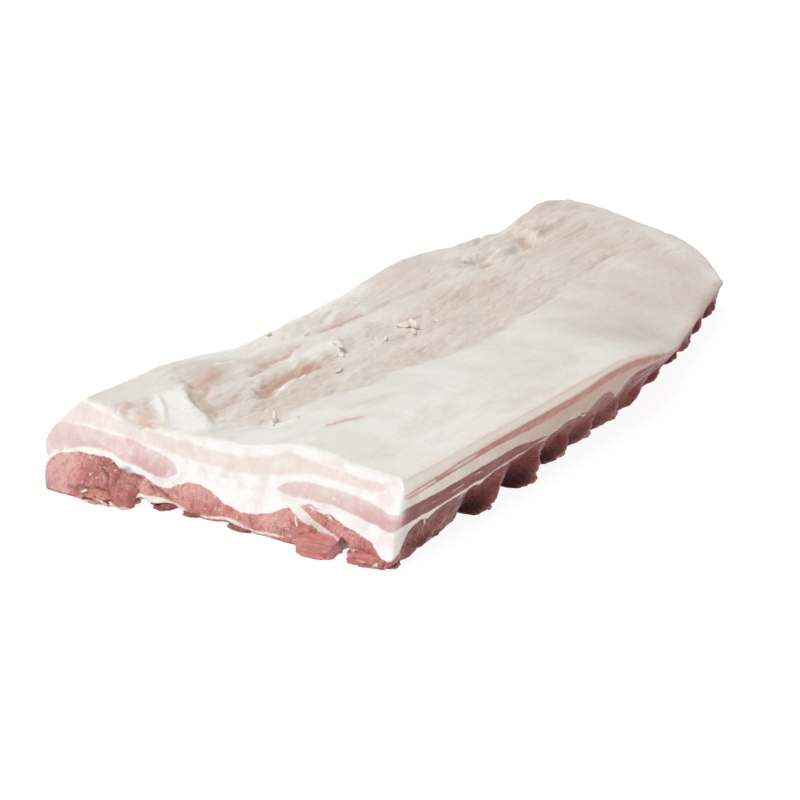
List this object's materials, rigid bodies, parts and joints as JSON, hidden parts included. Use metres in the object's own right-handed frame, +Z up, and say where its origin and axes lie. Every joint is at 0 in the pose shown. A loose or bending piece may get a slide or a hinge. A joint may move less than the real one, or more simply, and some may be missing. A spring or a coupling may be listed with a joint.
{
  "type": "raw pork belly slab",
  "caption": "Whole raw pork belly slab, skinned and boned, lying fat side up, with one clean end cut, one straight long cut, rib fingers under it and a thin drooping flank.",
  "frame": {"origin": "centre of the slab's box in plan, on the table it lies on", "axes": "+X from the clean end cut to the thin flank end, +Y from the straight belly cut to the back side, +Z up, fat side up"},
  "size_m": [0.596, 0.251, 0.0582],
  "materials": {
    "raw_pork": "moist raw fat over pink lean, semi-gloss"
  },
  "bodies": {
    "root": {"pork_belly_slab": "raw_pork"}
  },
  "joints": []
}
